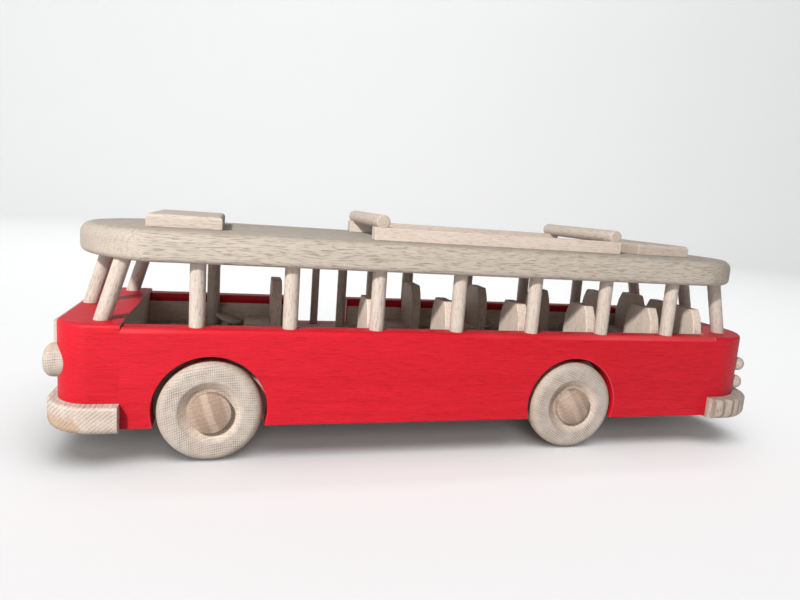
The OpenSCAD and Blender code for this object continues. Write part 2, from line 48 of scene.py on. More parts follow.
# A face looks along an axis when that part of its normal is longer than this.
FACING = 0.99
X, Y, Z = Vector((1, 0, 0)), Vector((0, 1, 0)), Vector((0, 0, 1))
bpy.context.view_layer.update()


def corners(node):
    """Lowest and highest corner of a CAD node, in millimetres."""
    lo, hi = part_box(node)
    return lo / MM, hi / MM


def held(value):
    """A value held between 0 and 1."""
    return min(max(value, 0.0), 1.0)


# Materials

# Places of a Mix node's colour sockets
MIX_FACTOR, MIX_FIRST, MIX_SECOND, MIX_RESULT = 0, 6, 7, 2
COAT_ROUGHNESS = 0.35
# Distance from a piece's middle to the pith of its tree
PITH_DEPTH = 70.0
# Size of each pattern's marks along, across and out from the pith
DRIFT_PITCH, RIPPLE_PITCH, PATCH_PITCH = (70, 16, 16), (6, 3, 3), (30, 5, 5)
TONE_PITCH, FIBRE_PITCH, PORE_PITCH = (90, 22, 22), (16, 0.5, 0.5), (2.2, 0.28, 0.28)
BAND_LENGTH = 80
# Size of the ripple beside that of the drift
RIPPLE_SHARE = 0.2
# How thin the dark lines of year rings and rays are
RING_POWER, RAY_POWER = 3.0, 6.0
# Noise values between which a mark comes in
WIDE_CUT, BAND_CUT, PORE_CUT = (0.3, 0.7), (0.42, 0.58), (0.6, 0.75)
# Two noise values, and how much of the rings or rays shows at each
RING_PATCHES, RAY_PATCHES = (0.35, 0.65, 0.3, 1.0), (0.3, 0.65, 0.35, 1.0)
# Two values of the spot, and how much of its colour shows at each
SPOT_PATCHES = (0.5, 0.75, 0.0, 0.9)
SPOT_SHADE = 0.6
PORE_SHARE = 0.3
# Roughness below and above the middle one
SMOOTHER, ROUGHER = 0.07, 0.1
# The stain's long thin flecks, the strength of its marks, its roughness, and
# two values of the tone with the paler edge colour that an edge shows at each, partly wear and partly
# painted highlight
STAIN_FLECK_PITCH = (9.0, 0.36, 0.5)
STAIN_MARKS, STAIN_ALONG_POWER = 0.4, 4.0
STAIN_ROUGHNESS = (0.46, 0.58)
STAIN_WEAR_AND_HIGHLIGHT = (0.35, 0.9, 0.0, 0.5)


class Nodes:
    """Short calls that build one material's node tree."""

    def __init__(self, name):
        self.material = bpy.data.materials.new(name)
        self.material.use_nodes = True
        self.tree = self.material.node_tree
        self.tree.nodes.clear()

    def put(self, socket, value):
        if isinstance(value, bpy.types.NodeSocket):
            self.tree.links.new(value, socket)
        else:
            socket.default_value = value

    def attribute(self, name, output):
        node = self.tree.nodes.new("ShaderNodeAttribute")
        node.attribute_name = name
        return node.outputs[output]

    def math(self, operation, *values):
        node = self.tree.nodes.new("ShaderNodeMath")
        node.operation = operation
        for socket, value in zip(node.inputs, values):
            self.put(socket, value)
        return node.outputs[0]

    def product(self, first, *others):
        for other in others:
            first = self.math("MULTIPLY", first, other)
        return first

    def total(self, *terms):
        """Sum of weight times value."""
        result = 0.0
        for weight, value in terms:
            result = self.math("MULTIPLY_ADD", value, weight, result)
        return result

    def vector(self, operation, *values):
        node = self.tree.nodes.new("ShaderNodeVectorMath")
        node.operation = operation
        for socket, value in zip(node.inputs, values):
            self.put(socket, value)
        return node.outputs[0]

    def noise(self, vector, pitch, detail, output="Fac"):
        """Noise whose marks are about pitch long along, across and out from the pith."""
        node = self.tree.nodes.new("ShaderNodeTexNoise")
        self.put(node.inputs["Vector"], self.vector("DIVIDE", vector, pitch))
        node.inputs["Scale"].default_value = 1.0
        node.inputs["Detail"].default_value = detail
        return node.outputs[output]

    def spread(self, value, low, high, to_low=0.0, to_high=1.0):
        node = self.tree.nodes.new("ShaderNodeMapRange")
        for socket, part in zip(node.inputs, (value, low, high, to_low, to_high)):
            self.put(socket, part)
        return node.outputs[0]

    def mix(self, factor, first, second):
        node = self.tree.nodes.new("ShaderNodeMix")
        node.data_type = "RGBA"
        for place, value in ((MIX_FACTOR, factor), (MIX_FIRST, first), (MIX_SECOND, second)):
            self.put(node.inputs[place], value)
        return node.outputs[MIX_RESULT]

    def finish(self, colour, roughness, height, depth, specular, coat=0.0):
        """Ends the tree; depth is the bump's, in millimetres."""
        bump = self.tree.nodes.new("ShaderNodeBump")
        bump.inputs["Strength"].default_value = 1.0
        bump.inputs["Distance"].default_value = depth * MM
        self.put(bump.inputs["Height"], height)
        shader = self.tree.nodes.new("ShaderNodeBsdfPrincipled")
        self.put(shader.inputs["Base Color"], colour)
        self.put(shader.inputs["Roughness"], roughness)
        self.put(shader.inputs["Normal"], bump.outputs[0])
        shader.inputs["Specular IOR Level"].default_value = specular
        shader.inputs["Coat Weight"].default_value = coat
        shader.inputs["Coat Roughness"].default_value = COAT_ROUGHNESS
        out = self.tree.nodes.new("ShaderNodeOutputMaterial")
        self.put(out.inputs["Surface"], shader.outputs[0])
        return self.material


def rgb(r, g, b):
    return (r, g, b, 1.0)


def wood_pattern(n, sway=3.0, ring_pitch=2.3, fleck_pitch=(4.2, 0.42, 0.8), fleck_cut=(0.57, 0.68),
                 grid_pitch=(1.2, 1.6), band_pitch=6.0):
    """Beech in three dimensions, from each piece's own grain coordinates: along, across
    and out from the pith. sway is how far the grain wanders."""
    grain = n.attribute("grain", "Vector")
    end = n.attribute("end", "Fac")
    middle = (0.5, 0.5, 0.5)
    drift = n.vector("SUBTRACT", n.noise(grain, DRIFT_PITCH, 2, "Color"), middle)
    ripple = n.vector("SUBTRACT", n.noise(grain, RIPPLE_PITCH, 1, "Color"), middle)
    small = RIPPLE_SHARE * sway
    bent = n.vector("ADD", grain, n.vector("MULTIPLY", drift, (0, sway, sway)))
    bent = n.vector("ADD", bent, n.vector("MULTIPLY", ripple, (0, small, small)))
    parts = n.tree.nodes.new("ShaderNodeSeparateXYZ")
    n.put(parts.inputs[0], bent)
    across, out = parts.outputs[1], parts.outputs[2]
    pith = n.math("ADD", out, PITH_DEPTH)
    radius = n.math("SQRT", n.math("ADD", n.product(pith, pith), n.product(across, across)))

    def lines(value, pitch, power):
        wave = n.math("SINE", n.product(value, 2 * math.pi / pitch))
        return n.math("POWER", n.math("MULTIPLY_ADD", wave, 0.5, 0.5), power)

    patch = n.noise(grain, PATCH_PITCH, 2)
    rings = n.product(lines(radius, ring_pitch, RING_POWER), n.spread(patch, *RING_PATCHES))
    rays = n.math("MAXIMUM", lines(across, grid_pitch[0], RAY_POWER),
                  lines(radius, grid_pitch[1], RAY_POWER))
    return {
        "end": end,
        "edge": n.attribute("edge", "Fac"),
        "spot": n.attribute("spot", "Fac"),
        "tone": n.spread(n.noise(grain, TONE_PITCH, 2), *WIDE_CUT),
        "fibre": n.spread(n.noise(bent, FIBRE_PITCH, 3), *WIDE_CUT),
        "fleck": n.spread(n.noise(bent, fleck_pitch, 1), *fleck_cut),
        "rings": rings,
        "bands": n.spread(n.noise(bent, (BAND_LENGTH, band_pitch, BAND_LENGTH), 0), *BAND_CUT),
        "grid": n.product(rays, end, n.spread(patch, *RAY_PATCHES)),
        "pores": n.spread(n.noise(bent, PORE_PITCH, 1), *PORE_CUT),
    }


def plain_wood(name, pale, deep, dark, end_tint, spot=None, fleck_share=0.55, grid_share=0.5,
               ring_share=0.3, band_share=0.0, end_share=0.45, roughness=0.62, **pattern):
    """Bare wood; spot is the colour of the places that a piece's own spot function picks out."""
    n = Nodes(name)
    p = wood_pattern(n, **pattern)
    shade = n.total((0.4, p["fibre"]), (0.25, p["tone"]), (ring_share, p["rings"]),
                    (band_share, p["bands"]))
    colour = n.mix(shade, pale, deep)
    colour = n.mix(n.product(p["end"], end_share), colour, n.mix(shade, end_tint, deep))
    if spot:
        patch = n.spread(n.total((1.0, p["spot"]), (0.4, p["fibre"])), *SPOT_PATCHES)
        colour = n.mix(patch, colour, n.mix(n.product(shade, SPOT_SHADE), spot, dark))
    long_grain = n.math("SUBTRACT", 1.0, p["end"])
    colour = n.mix(n.product(p["fleck"], long_grain, fleck_share), colour, dark)
    colour = n.mix(n.product(p["grid"], grid_share), colour, dark)
    colour = n.mix(n.product(p["pores"], PORE_SHARE), colour, dark)
    gloss = n.spread(p["fibre"], 0.0, 1.0, roughness - SMOOTHER, roughness + ROUGHER)
    height = n.total((0.5, p["fibre"]), (-0.5, p["fleck"]), (-0.5, p["grid"]), (-0.4, p["pores"]))
    return n.finish(colour, gloss, height, depth=0.10, specular=0.3)


def stained_wood(name, bright, deep, dark, wear_and_highlight):
    """Stained wood: dark marks where the grain runs along the surface, and a paler red on the rounded
    edges, partly wear and partly painted highlight.
    """
    n = Nodes(name)
    p = wood_pattern(n, fleck_pitch=STAIN_FLECK_PITCH)
    shade = n.total((0.5, p["fibre"]), (0.3, p["tone"]), (0.25, p["rings"]))
    colour = n.mix(shade, bright, deep)
    long_grain = n.math("POWER", n.math("SUBTRACT", 1.0, p["end"]), STAIN_ALONG_POWER)
    for mark in ("fleck", "pores"):
        colour = n.mix(n.product(p[mark], long_grain, STAIN_MARKS), colour, dark)
    # Paler red on the rounded edges: partly wear, partly painted highlight.
    rubbed_and_highlit = n.product(p["edge"], n.spread(p["tone"], *STAIN_WEAR_AND_HIGHLIGHT))
    colour = n.mix(rubbed_and_highlit, colour, wear_and_highlight)
    gloss = n.spread(p["fibre"], 0.0, 1.0, *STAIN_ROUGHNESS)
    height = n.total((0.5, p["fibre"]), (-0.5, p["fleck"]), (-0.4, p["pores"]))
    return n.finish(colour, gloss, height, depth=0.07, specular=0.14, coat=0.04)


BEECH = plain_wood("beech", rgb(0.48, 0.42, 0.365), rgb(0.38, 0.31, 0.255), rgb(0.18, 0.125, 0.095),
                   rgb(0.45, 0.37, 0.30), fleck_share=0.45, grid_share=0.45)
ROOF_WOOD = plain_wood("roof_beech", rgb(0.40, 0.355, 0.30), rgb(0.32, 0.27, 0.218),
                       rgb(0.15, 0.115, 0.09), rgb(0.38, 0.33, 0.28), fleck_share=0.62,
                       fleck_pitch=(6.0, 0.45, 0.7), fleck_cut=(0.53, 0.65))
WHEEL_WOOD = plain_wood("wheel_end_grain", rgb(0.46, 0.385, 0.31), rgb(0.36, 0.285, 0.225),
                        rgb(0.12, 0.09, 0.075), rgb(0.46, 0.425, 0.395), rgb(0.66, 0.54, 0.44),
                        grid_share=0.85, end_share=0.75, sway=1.2, grid_pitch=(1.0, 1.25))
BUMPER_WOOD = plain_wood("bumper_beech", rgb(0.54, 0.49, 0.445), rgb(0.31, 0.235, 0.18),
                         rgb(0.17, 0.115, 0.085), rgb(0.55, 0.48, 0.41), rgb(0.44, 0.30, 0.20),
                         ring_share=0.75, grid_share=0.25, ring_pitch=1.5, sway=1.0)
REAR_BUMPER_WOOD = plain_wood("rear_bumper_beech", rgb(0.50, 0.44, 0.39), rgb(0.24, 0.175, 0.13),
                              rgb(0.15, 0.10, 0.075), rgb(0.50, 0.42, 0.36), ring_share=0.9,
                              grid_share=0.25, ring_pitch=4.0, sway=1.0)
TURNED = plain_wood("turned_wood", rgb(0.47, 0.38, 0.315), rgb(0.27, 0.185, 0.135),
                    rgb(0.13, 0.08, 0.055), rgb(0.43, 0.325, 0.25), fleck_share=0.5, grid_share=0.35,
                    band_share=0.55, roughness=0.5, sway=1.5, band_pitch=5.0)
# A lighter copy of beech for the seats and the walls' inner faces: painted fill light that lifts the shade
# inside the bus.
INNER_WOOD_PAINTED_FILL = plain_wood("inner_beech_painted_fill", rgb(0.62, 0.53, 0.45), rgb(0.50, 0.405, 0.33),
                        rgb(0.22, 0.15, 0.115), rgb(0.58, 0.47, 0.38), fleck_share=0.45,
                        grid_share=0.45)
RAIL_WOOD = plain_wood("rail_beech", rgb(0.57, 0.50, 0.435), rgb(0.46, 0.375, 0.31),
                       rgb(0.22, 0.15, 0.115), rgb(0.52, 0.43, 0.35), fleck_share=0.35,
                       grid_share=0.45)
# The last colour is the paler red of the rounded edges, partly wear and partly painted highlight.
RED = stained_wood("red_stain", rgb(0.50, 0.0085, 0.0195), rgb(0.375, 0.004, 0.011),
                   rgb(0.19, 0.002, 0.005), rgb(0.60, 0.07, 0.075))


# Mesh helpers

# Small rounds on the edges of boards
FINE_EDGE, BOARD_EDGE = 0.4, 0.5
# Edges of a finished piece that turn by more degrees than this are shaded sharp.
SHARP_ANGLE = 50


def arc(centre, radius, start, end, count):
    """Points on an arc, from start to end in degrees."""
    return [(centre[0] + radius * math.cos(math.radians(start + (end - start) * k / count)),
             centre[1] + radius * math.sin(math.radians(start + (end - start) * k / count)))
            for k in range(count + 1)]


def rounded(points, closed=True, step=10):
    """Rounds the corners of an outline of (u, v, radius) and returns its (u, v) points,
    which turn by at most step degrees."""
    out = []
    for i, (u, v, radius) in enumerate(points):
        here = Vector((u, v))
        if radius == 0 or (not closed and i in (0, len(points) - 1)):
            out.append((u, v))
            continue
        back = (Vector(points[i - 1][:2]) - here).normalized()
        on = (Vector(points[(i + 1) % len(points)][:2]) - here).normalized()
        half = back.angle(on) / 2
        centre = here + (back + on).normalized() * (radius / math.sin(half))
        first = here + back * (radius / math.tan(half)) - centre
        last = here + on * (radius / math.tan(half)) - centre
        start = math.degrees(math.atan2(first.y, first.x))
        turn = (math.degrees(math.atan2(last.y, last.x)) - start + 180) % 360 - 180
        out += arc(centre, radius, start, start + turn, max(2, math.ceil(abs(turn) / step)))
    return out


def in_plan(u, v, w):
    """Point of a prism whose outline is seen from above."""
    return (u, v, w)


def from_side(u, v, w):
    """Point of a prism whose outline is seen from the bus's side."""
    return (u, w, v)


def prism(outline, low, high, place):
    """Extrudes an outline of (u, v) from low to high; place(u, v, w) gives the point."""
    bm = bmesh.new()
    ends = [[bm.verts.new(place(u, v, w)) for u, v in outline] for w in (low, high)]
    bm.faces.new(ends[0])
    bm.faces.new(reversed(ends[1]))
    for i in range(len(outline)):
        j = (i + 1) % len(outline)
        bm.faces.new((ends[0][j], ends[0][i], ends[1][i], ends[1][j]))
    bmesh.ops.recalc_face_normals(bm, faces=bm.faces)
    return bm


def block(lo, hi):
    """Plain cuboid, to be softened."""
    outline = [(lo[0], lo[1]), (hi[0], lo[1]), (hi[0], hi[1]), (lo[0], hi[1])]
    return prism(outline, lo[2], hi[2], in_plan)


def slab(outline, levels):
    """Board with a rounded rim: outline(inset) gives its plan, and levels its
    (height, inset) from below."""
    bm = bmesh.new()
    rings = [[bm.verts.new((x, y, z)) for x, y in outline(inset)] for z, inset in levels]
    for a, b in zip(rings, rings[1:]):
        for i in range(len(a)):
            j = (i + 1) % len(a)
            bm.faces.new((a[i], a[j], b[j], b[i]))
    bm.faces.new(reversed(rings[0]))
    bm.faces.new(rings[-1])
    bmesh.ops.remove_doubles(bm, verts=bm.verts, dist=1e-4)
    bmesh.ops.recalc_face_normals(bm, faces=bm.faces)
    return bm


def rim(low, high, low_r, top_r, steps=6):
    """Levels for slab(): a quarter round below and another above."""
    angles = [90 * k / steps for k in range(steps + 1)]
    below = [(low + low_r * (1 - math.sin(math.radians(a))), low_r * (1 - math.cos(math.radians(a))))
             for a in reversed(angles)]
    above = [(high - top_r * (1 - math.sin(math.radians(a))), top_r * (1 - math.cos(math.radians(a))))
             for a in angles]
    return below + above


def lathe(profile, place, steps=96, closed=False):
    """Turns a profile of (radius, height) round +Z; the matrix place then puts it in the scene."""
    bm = bmesh.new()
    rings = []
    for r, h in profile:
        if r < 1e-6:
            rings.append([bm.verts.new(place @ Vector((0, 0, h)))])
        else:
            rings.append([bm.verts.new(place @ Vector((r * math.cos(2 * math.pi * k / steps),
                                                       r * math.sin(2 * math.pi * k / steps), h)))
                          for k in range(steps)])
    pairs = list(zip(rings, rings[1:])) + ([(rings[-1], rings[0])] if closed else [])
    for a, b in pairs:
        for k in range(steps):
            m = (k + 1) % steps
            if len(a) == 1:
                bm.faces.new((a[0], b[k], b[m]))
            elif len(b) == 1:
                bm.faces.new((a[k], a[m], b[0]))
            else:
                bm.faces.new((a[k], a[m], b[m], b[k]))
    bmesh.ops.recalc_face_normals(bm, faces=bm.faces)
    return bm


def soften(bm, width, segments=3, wanted=lambda edge: True, sharp=35):
    """Rounds the wanted edges that turn by more than sharp degrees, and marks the new faces
    so that the paler edge colour, partly wear and partly painted highlight, can find them."""
    layer = bm.faces.layers.float.get("edge") or bm.faces.layers.float.new("edge")
    bm.normal_update()
    edges = [e for e in bm.edges if len(e.link_faces) == 2
             and e.calc_face_angle() > math.radians(sharp) and wanted(e)]
    made = bmesh.ops.bevel(bm, geom=edges, offset=width, offset_type="OFFSET", segments=segments,
                           profile=0.5, affect="EDGES", clamp_overlap=True)
    for face in made["faces"]:
        face[layer] = 1.0
    return bm


def joined(parts):
    """One mesh from several."""
    whole = bmesh.new()
    for part in parts:
        mesh = bpy.data.meshes.new("scratch")
        part.to_mesh(mesh)
        part.free()
        whole.from_mesh(mesh)
        bpy.data.meshes.remove(mesh)
    return whole


def axis_matrix(foot, direction):
    """Matrix that puts +Z along direction, with its origin at foot."""
    return Matrix.Translation(foot) @ Vector(direction).to_track_quat("Z", "Y").to_matrix().to_4x4()


def link(obj):
    bpy.context.scene.collection.objects.link(obj)


made_pieces = []


def piece(name, bm, node, along, out, materials=(BEECH,), body="bus_body", bare=None,
          turn=0, spot=None):
    """One finished piece that stands for a CAD node. along is its grain, and out points away
    from the pith once it is turned about the grain by turn degrees. bare(face) says which faces
    take the second material, and spot(point) how far a point takes the spot colour."""
    along = Vector(along).normalized()
    out = Vector(out)
    out = (out - along * out.dot(along)).normalized()
    out = Matrix.Rotation(math.radians(turn), 3, along) @ out
    across = out.cross(along)
    # The name gives each piece its own place in the tree.
    seed = sum((i + 1) * ord(c) for i, c in enumerate(name))
    shift = Vector((seed * 37 % 1009, seed * 53 % 41 - 20, seed * 29 % 23))
    if bm.faces.layers.float.get("edge") is None:
        bm.faces.layers.float.new("edge")
    bm.normal_update()
    for face in bm.faces:
        face.smooth = True
        face.material_index = int(bare is not None and bare(face))
    ends = [abs(face.normal.dot(along)) ** 2 for face in bm.faces]
    middle = sum((v.co for v in bm.verts), Vector()) / len(bm.verts)
    spots = [spot(v.co) if spot else 0.0 for v in bm.verts]
    grain = []
    for vert in bm.verts:
        rel = vert.co - middle
        grain += [rel.dot(along) + shift.x, rel.dot(across) + shift.y, rel.dot(out) + shift.z]
        vert.co *= MM
    mesh = bpy.data.meshes.new(name)
    bm.to_mesh(mesh)
    bm.free()
    mesh.attributes.new("grain", "FLOAT_VECTOR", "POINT").data.foreach_set("vector", grain)
    mesh.attributes.new("end", "FLOAT", "FACE").data.foreach_set("value", ends)
    mesh.attributes.new("spot", "FLOAT", "POINT").data.foreach_set("value", spots)
    mesh.set_sharp_from_angle(angle=math.radians(SHARP_ANGLE))
    for material in materials:
        mesh.materials.append(material)
    obj = bpy.data.objects.new(name, mesh)
    link(obj)
    obj.modifiers.new("flat_faces", "WEIGHTED_NORMAL").keep_sharp = True
    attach(obj, body)
    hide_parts(node)
    made_pieces.append(obj)


# Side walls, nose and tail

FLOOR_TOP = corners("floor_board")[1].z
WALL_REAR, WALL_FRONT = (corner.x for corner in corners("left_wall"))
WALL_TOP_R, WALL_EDGE = 2.5, 0.45
# The rear arches stand a little ahead of their axle.
AXLES = {"front": 127.0, "rear": -71.0}
ARCHES = (-69.8, 127.0)
AXLE_Z, ARCH_Z, ARCH_R = 25.0, 25.8, 27.2
DOOR_REAR, DOOR_FRONT = 44.2, 76.2
# Depth that the stain runs down a wall's inner face
STAIN_RUN = 4.7
# Thin lining that closes an arch's top inside, where it rises above the floor
LINING_T, LINING_DROP = 0.3, 0.5


def wall(name, side):
    """Side wall with its arches; the right one, whose side is -1, has the doorway."""
    lo, hi = corners(name)
    dip = math.degrees(math.asin((ARCH_Z - lo.z) / ARCH_R))
    outline = [(lo.x, lo.z)]
    for x in ARCHES:
        outline += arc((x, ARCH_Z), ARCH_R, 180 + dip, -dip, 56)
    outline += [(hi.x, lo.z), (hi.x, hi.z)]
    if side < 0:
        outline += [(DOOR_FRONT, hi.z), (DOOR_FRONT, FLOOR_TOP), (DOOR_REAR, FLOOR_TOP), (DOOR_REAR, hi.z)]
    outline += [(lo.x, hi.z)]
    bm = prism(outline, lo.y, hi.y, from_side)

    def along_top(edge):
        way = (edge.verts[0].co - edge.verts[1].co).normalized()
        return min(v.co.z for v in edge.verts) > hi.z - NEAR and abs(way.x) > 0.9

    def off_ends(edge):
        return all(lo.x + NEAR < v.co.x < hi.x - NEAR for v in edge.verts)

    soften(bm, WALL_TOP_R, 6, along_top)
    soften(bm, WALL_EDGE, 3, off_ends)
    stain_z = hi.z - STAIN_RUN
    everything = bm.verts[:] + bm.edges[:] + bm.faces[:]
    bmesh.ops.bisect_plane(bm, geom=everything, plane_co=(0, 0, stain_z), plane_no=Z)
    inner = lo.y if side > 0 else hi.y
    lift = math.degrees(math.asin((FLOOR_TOP - LINING_DROP - ARCH_Z) / ARCH_R))
    linings = [prism(arc((x, ARCH_Z), ARCH_R, lift, 180 - lift, 24), inner, inner + side * LINING_T,
                     from_side) for x in ARCHES]

    def unstained(face):
        return face.normal.y * side < -FACING and face.calc_center_median().z < stain_z

    # The inner faces below the stain take the lighter beech, which is painted fill light.
    piece(name + "_board", joined([bm] + linings), name, X, Y * side, (RED, INNER_WOOD_PAINTED_FILL),
          bare=unstained)


wall("left_wall", 1)
wall("right_wall", -1)

NOSE_R, TAIL_R, FRONT_BUMPER_R, REAR_BUMPER_R = 17.0, 29.0, 24.0, 29.0
# Rounds below and above on the nose and tail, and on the bumpers
BLOCK_RIM, BUMPER_RIM = (0.4, 2.0), (4.0, 1.5)
# Small round where a block meets the walls
JOINT_EDGE = 0.15
# Where the front bumper's brown patch begins, low at its front, the run over which it comes in, and its
# strength
BROWN_TOP, BROWN_RISE, BROWN_REAR, BROWN_RUN, BROWN_SHARE = 25.0, 3.0, 181.0, 5.0, 0.8


def end_plan(flat_x, tip_x, half, radius):
    """Plan of an end block: flat at flat_x, with two round corners at tip_x."""
    way, tip_angle = (1, 0) if tip_x > flat_x else (-1, 180)
    cx, cy = tip_x - way * radius, half - radius

    def outline(inset):
        r = radius - inset
        return ([(flat_x, -(half - inset))]
                + arc((cx, -cy), r, -90, -tip_angle, 20) + arc((cx, cy), r, tip_angle, 90, 20)
                + [(flat_x, half - inset)])
    return outline


def end_block(name, front, radius, rim_radii, materials, along, out, turn=0, spot=None):
    """Nose, tail or bumper: its corners have the radius, and its rim the rounds below and above."""
    lo, hi = corners(name)
    flat_x, tip_x = (WALL_FRONT, hi.x) if front else (WALL_REAR, lo.x)
    bm = slab(end_plan(flat_x, tip_x, hi.y, radius), rim(lo.z, hi.z, *rim_radii))
    soften(bm, JOINT_EDGE, 3, lambda e: all(abs(v.co.x - flat_x) < NEAR for v in e.verts))

    def joint_face(face):
        return abs(face.normal.x) > FACING and abs(face.calc_center_median().x - flat_x) < 0.5

    stained = len(materials) == 2
    # Stained blocks take none of the paler edge colour (wear and painted highlight).
    if stained:
        wear_and_highlight = bm.faces.layers.float["edge"]
        for face in bm.faces:
            face[wear_and_highlight] = 0.0
    piece(name + "_wood", bm, name, along, out, materials, turn=turn, spot=spot,
          bare=joint_face if stained else None)


def low_front_brown(point):
    """How far a point takes the brown colour, which darkens the front bumper towards its bottom front."""
    low = held((BROWN_TOP - point.z) / BROWN_RISE)
    ahead = held((point.x - BROWN_REAR) / BROWN_RUN)
    return low * ahead * BROWN_SHARE


end_block("nose_block", True, NOSE_R, BLOCK_RIM, (RED, BEECH), X, Z)
end_block("tail_block", False, TAIL_R, BLOCK_RIM, (RED, BEECH), X, Z)
end_block("front_bumper", True, FRONT_BUMPER_R, BUMPER_RIM, (BUMPER_WOOD,), Y, Z,
          turn=45, spot=low_front_brown)
end_block("rear_bumper", False, REAR_BUMPER_R, BUMPER_RIM, (REAR_BUMPER_WOOD,), Z, X + Y)

# Floor, axle blocks and nose panel

PANEL_CORNER_R = 3.5

for name, along in (("floor_board", X), ("front_axle_block", Y), ("rear_axle_block", Y)):
    piece(name + "_wood", soften(block(*corners(name)), FINE_EDGE), name, along, Z)

lo, hi = corners("nose_panel")
panel_plan = rounded([(lo.x, lo.y, 0), (hi.x, lo.y, PANEL_CORNER_R), (hi.x, hi.y, PANEL_CORNER_R),
                      (lo.x, hi.y, 0)])
panel = soften(prism(panel_plan, lo.z, hi.z, in_plan), BOARD_EDGE)
piece("nose_panel_wood", panel, "nose_panel", Y, X, turn=15)

# Roof, hatches and luggage rack

# The roof's front bows with one radius, and another blends the bow into each side.
BOW_R, BLEND_R, REAR_R = 68.0, 6.5, 44.0
ROOF_LOW_R, ROOF_TOP_R = 3.0, 5.5
HATCH_TOP_R = 2.0
BAR_BEVEL = 0.8
roof_lo, roof_hi = corners("roof_board")


def roof_plan(inset):
    half = roof_hi.y
    bow = Vector((roof_hi.x - BOW_R, 0))
    swing = math.degrees(math.asin((half - BLEND_R) / (BOW_R - BLEND_R)))
    blend = (bow.x + (BOW_R - BLEND_R) * math.cos(math.radians(swing)), half - BLEND_R)
    rear = (roof_lo.x + REAR_R, half - REAR_R)
    return (arc((rear[0], -rear[1]), REAR_R - inset, 180, 270, 24)
            + arc((blend[0], -blend[1]), BLEND_R - inset, -90, -swing, 10)[:-1]
            + arc(bow, BOW_R - inset, -swing, swing, 48)
            + arc(blend, BLEND_R - inset, swing, 90, 10)[1:]
            + arc(rear, REAR_R - inset, 90, 180, 24))


roof = slab(roof_plan, rim(roof_lo.z, roof_hi.z, ROOF_LOW_R, ROOF_TOP_R, steps=8))
piece("roof_board_wood", roof, "roof_board", X, Y, (ROOF_WOOD,))

for name in ("front_hatch", "rear_hatch"):
    lo, hi = corners(name)
    hatch = soften(block(lo, hi), HATCH_TOP_R, 3, lambda e: min(v.co.z for v in e.verts) > hi.z - NEAR)
    piece(name + "_wood", soften(hatch, FINE_EDGE), name, X, Y)

for name in ("rack_rail_left", "rack_rail_right"):
    piece(name + "_wood", soften(block(*corners(name)), BOARD_EDGE), name, X, Y, (RAIL_WOOD,))


def stick(radius, length, bevel):
    """Profile of a dowel with bevelled ends."""
    return rounded([(0, 0, 0), (radius, 0, bevel), (radius, length, bevel), (0, length, 0)],
                   closed=False, step=22)


for name in ("rack_bar_front", "rack_bar_rear"):
    lo, hi = corners(name)
    mid = (lo + hi) / 2
    place = axis_matrix((mid.x, lo.y, mid.z), Y)
    bar = lathe(stick((hi.x - lo.x) / 2, hi.y - lo.y, BAR_BEVEL), place, 64)
    piece(name + "_wood", bar, name, Y, Z)

# Pillars, posts and pole

WINDSCREEN_LEAN, REAR_LEAN = -17, 15
# Degrees by which each dowel is turned beyond the one before, so that their grain differs
UPRIGHT_TURN, LEANING_TURN = 67, 71


def dowel(name, direction, turn):
    """Dowel from a CAD node's box: upright, or leaning in the plane of the bus's length."""
    lo, hi = corners(name)
    mid = (lo + hi) / 2
    direction = Vector(direction).normalized()
    radius = (hi.y - lo.y) / 2
    length = (hi.z - lo.z - 2 * radius * abs(direction.x)) / direction.z
    place = axis_matrix(mid - direction * length / 2, direction)
    turned = lathe(stick(radius, length, FINE_EDGE), place, 64)
    piece(name + "_dowel", turned, name, direction, X + Y, turn=turn)


def leaning(degrees):
    """Direction that leans forward from upright."""
    return Vector((math.sin(math.radians(degrees)), 0, math.cos(math.radians(degrees))))


uprights = ([f"left_pillar_{i}" for i in range(1, 8)] + [f"right_pillar_{i}" for i in range(4, 8)]
            + ["cab_post", "door_post", "door_pole", "jamb_pillar"])
for i, name in enumerate(uprights):
    dowel(name, Z, i * UPRIGHT_TURN)
for i, side_name in enumerate(("left", "middle", "right")):
    for end_name, lean in (("windscreen", WINDSCREEN_LEAN), ("rear", REAR_LEAN)):
        dowel(f"{end_name}_pillar_{side_name}", leaning(lean), i * LEANING_TURN + lean)

# Headlights and tail lamps

BUTTON_FOOT_R, HEADLIGHT_ROUND = 0.3, 4.0
# The tail block's end and half width, and the lamps on its round corners
TAIL_TIP, TAIL_HALF = -197.0, 57.0
LAMP_ANGLE, LAMP_R, LAMP_SEAT, LAMP_PROUD, LAMP_ROUND = 33.0, 4.25, 4.0, 5.0, 0.9


def button(radius, length, round_r):
    """Profile of a button with a rounded face."""
    return rounded([(0, 0, 0), (radius, 0, BUTTON_FOOT_R), (radius, length, round_r), (0, length, 0)],
                   closed=False, step=8)


for name in ("headlight_left", "headlight_right"):
    lo, hi = corners(name)
    mid = (lo + hi) / 2
    place = axis_matrix((lo.x, mid.y, mid.z), X)
    headlight = lathe(button((hi.y - lo.y) / 2, hi.x - lo.x, HEADLIGHT_ROUND), place, 72)
    piece(name + "_button", headlight, name, Y, Z, (WHEEL_WOOD,), turn=5)

